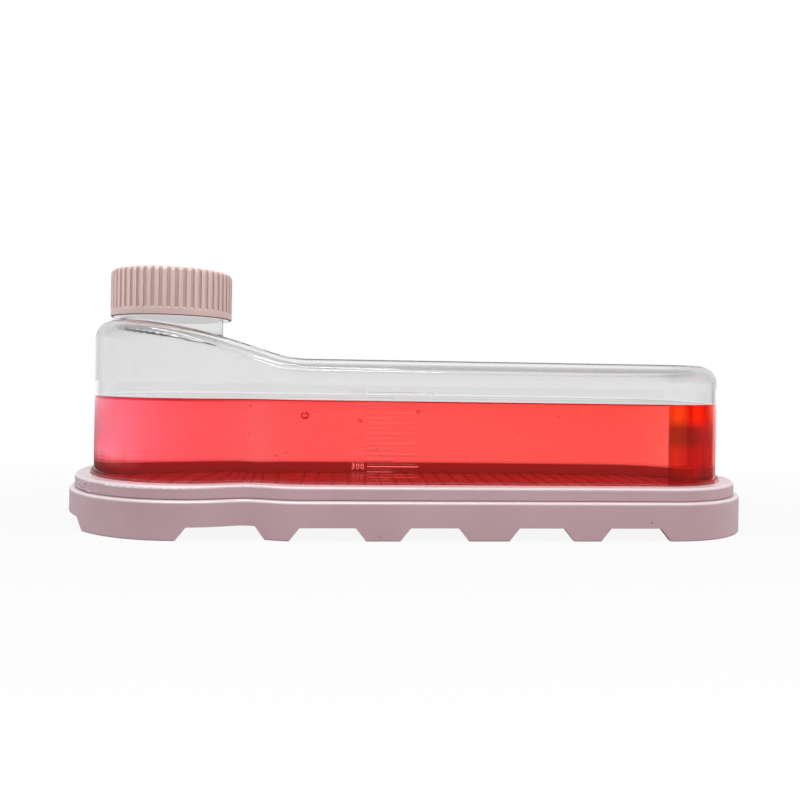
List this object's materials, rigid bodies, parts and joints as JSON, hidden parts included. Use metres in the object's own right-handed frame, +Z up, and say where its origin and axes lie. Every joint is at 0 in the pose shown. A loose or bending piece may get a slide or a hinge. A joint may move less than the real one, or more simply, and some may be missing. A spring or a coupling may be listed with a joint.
{
  "type": "cell culture flask",
  "caption": "Long clear cell culture flask with an upright neck and ribbed screw cap, filled with red medium, on a stepped base with air notches under a gas-permeable bottom.",
  "frame": {"origin": "on the floor, in the middle of the base", "axes": "+X along the flask away from the neck, +Z up along the neck, +Y across the flask"},
  "size_m": [0.2912, 0.1164, 0.1078],
  "materials": {
    "base_plastic": "matte mauve moulded plastic",
    "grid_plastic": "matte pale grey moulded plastic",
    "silicone": "thin satin silicone sheet",
    "clear_plastic": "clear polished plastic",
    "medium": "clear red liquid",
    "cap_plastic": "matte dusty pink moulded plastic",
    "seal_rubber": "satin dark red silicone",
    "filter_sheet": "white filter sheet"
  },
  "bodies": {
    "vessel": {"base_stand": "base_plastic", "support_grid": "grid_plastic", "gas_membrane": "silicone", "membrane_frame": "base_plastic", "flask_body": "clear_plastic", "culture_medium": "medium"},
    "seal": {"cap_seal": "seal_rubber"},
    "cap": {"screw_cap": "cap_plastic", "vent_filter": "filter_sheet"}
  },
  "joints": [
    {"name": "cap_lift", "type": "slide", "parent": "vessel", "child": "seal", "axis": [0, 0, 1], "range_m": [0, 0.025]},
    {"name": "cap_turn", "type": "hinge", "parent": "seal", "child": "cap", "pos_m": [-0.1054, 0, 0.0872], "axis": [0, 0, 1], "range_deg": [0, 1800]}
  ],
  "couplings": [
    {"joint": "cap_turn", "follows": "cap_lift", "rad_per_m": 1256.6}
  ]
}
